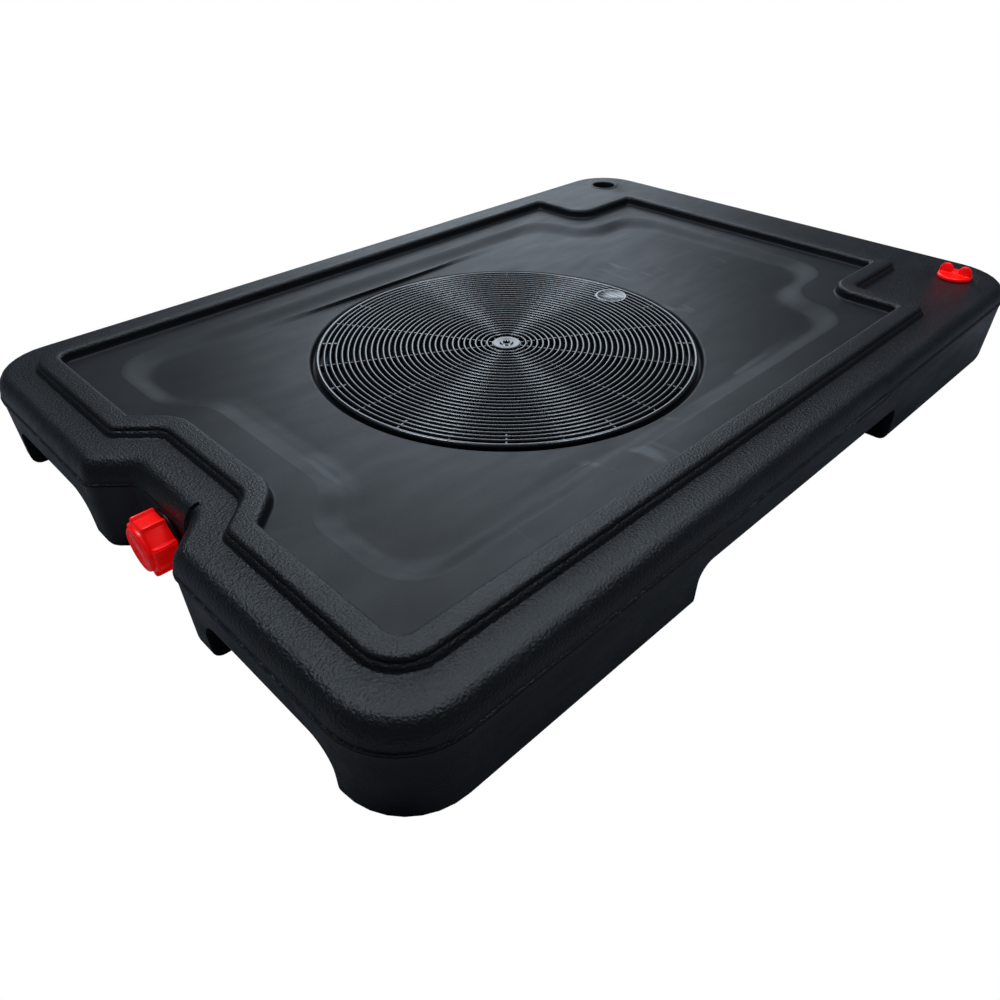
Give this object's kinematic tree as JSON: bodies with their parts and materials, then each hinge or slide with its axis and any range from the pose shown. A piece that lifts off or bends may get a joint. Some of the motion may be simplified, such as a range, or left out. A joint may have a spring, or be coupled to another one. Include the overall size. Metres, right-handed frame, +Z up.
{
  "type": "oil drain pan",
  "caption": "Low hollow drain pan for vehicles: rimmed tray over a tank, lift-out strainer, capped drain spout in a front notch and a winged vent plug.",
  "frame": {"origin": "on the floor, under the middle of the pan's bounding box", "axes": "+Z up, +Y along the pan from the drain spout towards the vent plug, +X to the right seen from the spout end's rear, so that the vent plug is at +X"},
  "size_m": [0.685, 1.009, 0.1135],
  "materials": {
    "black_plastic": "charcoal black moulded polyethylene, satin, with a fine sandy grain on the rim and the shoulders",
    "strainer_plastic": "black moulded plastic, satin, with faintly shiny ring tops",
    "red_plastic": "bright red moulded plastic, semi-gloss",
    "black_rubber": "black rubber seal, matt"
  },
  "bodies": {
    "pan": {"upper_shell": "black_plastic", "lower_shell": "black_plastic", "spout_neck": "black_plastic", "vent_bush": "black_plastic"},
    "strainer": {"strainer_grille": "strainer_plastic"},
    "spout_seal": {"spout_cap_seal": "black_rubber"},
    "spout_cap": {"spout_cap": "red_plastic"},
    "vent_gasket": {"vent_seal": "black_rubber"},
    "vent_plug": {"vent_plug": "red_plastic"}
  },
  "joints": [
    {"name": "strainer_lift", "type": "slide", "parent": "pan", "child": "strainer", "axis": [0, 0, 1], "range_m": [0, 0.06]},
    {"name": "spout_cap_travel", "type": "slide", "parent": "pan", "child": "spout_seal", "axis": [0, -1, 0], "range_m": [0, 0.0121]},
    {"name": "spout_cap_turn", "type": "hinge", "parent": "spout_seal", "child": "spout_cap", "pos_m": [0, -0.49, 0.0485], "axis": [0, -1, 0], "range_deg": [0, 1080]},
    {"name": "vent_plug_travel", "type": "slide", "parent": "pan", "child": "vent_gasket", "axis": [0, 0, 1], "range_m": [0, 0.0076]},
    {"name": "vent_plug_turn", "type": "hinge", "parent": "vent_gasket", "child": "vent_plug", "pos_m": [0.282, 0.44, 0.0985], "axis": [0, 0, 1], "range_deg": [0, 900]}
  ],
  "couplings": [
    {"joint": "spout_cap_travel", "follows": "spout_cap_turn", "m_per_rad": 0.00063662},
    {"joint": "vent_plug_travel", "follows": "vent_plug_turn", "m_per_rad": 0.00047746}
  ]
}
